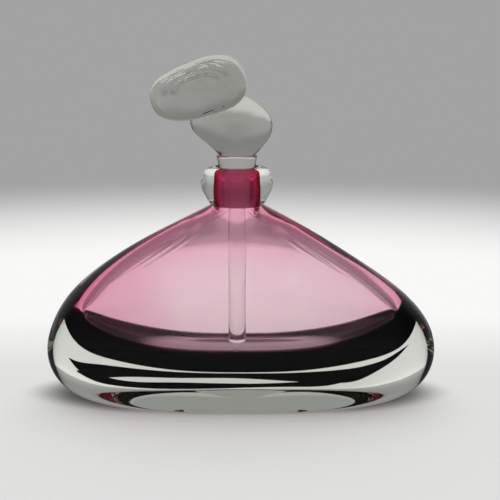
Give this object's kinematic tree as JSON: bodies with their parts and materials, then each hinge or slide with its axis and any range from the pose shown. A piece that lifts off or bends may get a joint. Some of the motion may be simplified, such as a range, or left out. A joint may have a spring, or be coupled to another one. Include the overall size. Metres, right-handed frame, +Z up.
{
  "type": "perfume bottle",
  "caption": "Flattened triangular cased-glass perfume bottle with a tinted chamber, a dark cup, a neck bead and a lift-out stopper with a dauber rod and a folded finial.",
  "frame": {"origin": "on the neck's axis, in the plane of the flat base", "axes": "+Z up along the neck's axis, +X along the body's width towards the side away from the finial's free end, -Y the front, where the finial's upper lobe lies"},
  "size_m": [0.1402, 0.0436, 0.1236],
  "materials": {
    "clear_glass": "polished",
    "dark_glass": "polished",
    "cranberry_glass": "polished",
    "ground_glass": "ground, frosted",
    "rod_glass": "satin"
  },
  "bodies": {
    "bottle": {"clear_casing": "clear_glass", "dark_overlay": "dark_glass", "cranberry_lining": "cranberry_glass", "neck_collar": "clear_glass"},
    "stopper_stem": {"ground_plug": "ground_glass", "dauber_rod": "rod_glass"},
    "stopper_finial": {"lower_lobe": "clear_glass", "upper_lobe": "clear_glass"}
  },
  "joints": [
    {"name": "stopper_lift", "type": "slide", "parent": "bottle", "child": "stopper_stem", "axis": [0, 0, 1], "range_m": [0, 0.07]},
    {"name": "stopper_twist", "type": "hinge", "parent": "stopper_stem", "child": "stopper_finial", "pos_m": [0, 0, 0.0884], "axis": [0, 0, 1], "continuous": true}
  ]
}
